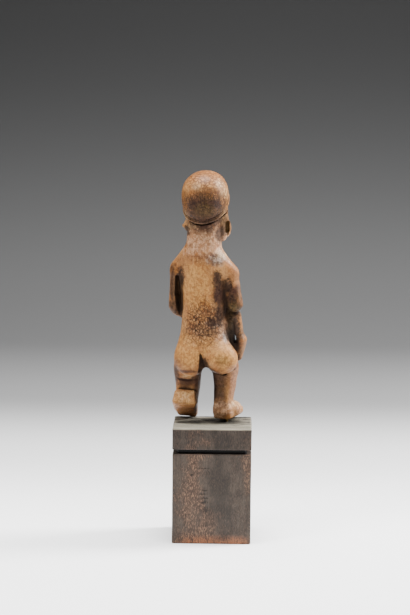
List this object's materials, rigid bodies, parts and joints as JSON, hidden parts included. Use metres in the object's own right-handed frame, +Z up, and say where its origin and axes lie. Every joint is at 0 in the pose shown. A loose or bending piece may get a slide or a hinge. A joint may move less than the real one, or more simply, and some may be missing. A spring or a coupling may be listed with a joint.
{
  "type": "carved statuette on plinth",
  "caption": "Small carved wooden standing figure in a close cap, pinned by one foot to a square wooden plinth with a saw-cut groove round its top.",
  "frame": {"origin": "middle of the plinth's underside", "axes": "+Z up the figure; the plinth's sides lie along X and Y; the figure faces -Y, turned 9 degrees towards its own right"},
  "size_m": [0.0541, 0.0514, 0.2356],
  "materials": {
    "carved_wood": "hand-carved, honey-brown patina with dark handling stains and a waxy sheen",
    "stained_wood": "charcoal-brown stain worn through to orange wood at the edges, dull sheen",
    "pin_metal": "plain drawn pin, slightly dull"
  },
  "bodies": {
    "root": {"plinth": "stained_wood", "mounting_pin": "pin_metal", "figure": "carved_wood"}
  },
  "joints": []
}
